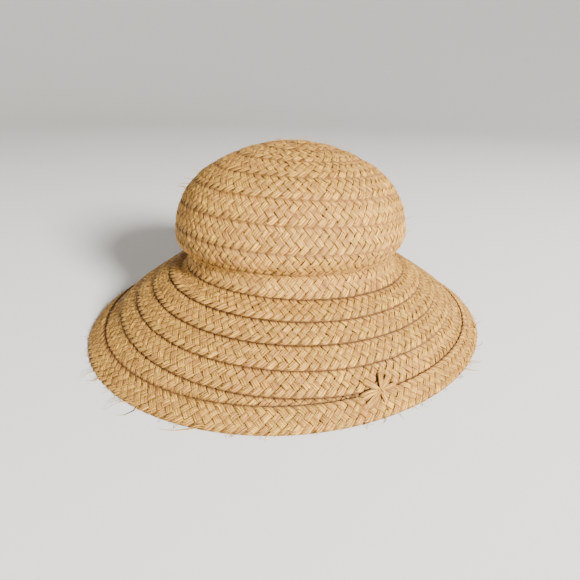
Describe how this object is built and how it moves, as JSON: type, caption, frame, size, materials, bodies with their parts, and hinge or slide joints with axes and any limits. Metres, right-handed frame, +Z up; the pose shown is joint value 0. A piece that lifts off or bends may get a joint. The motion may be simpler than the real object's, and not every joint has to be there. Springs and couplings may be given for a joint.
{
  "type": "raffia hat",
  "caption": "Plaited raffia sun hat: a domed crown and a sloping brim of one spiral plait, an edge row and a small star of straps at its join.",
  "frame": {"origin": "middle of the hat's outline in plan, on the plane that its rim stands on", "axes": "+Z up through the crown, -Y towards the front that the picture shows, +X to the right as seen from the front"},
  "size_m": [0.3654, 0.3582, 0.1615],
  "materials": {
    "raffia": "dry plaited raffia, matt with a faint sheen along the strands",
    "raffia_strap": "folded raffia strands, matt with a faint sheen"
  },
  "bodies": {
    "root": {"crown": "raffia", "brim": "raffia", "edge_row": "raffia", "star": "raffia_strap"}
  },
  "joints": []
}
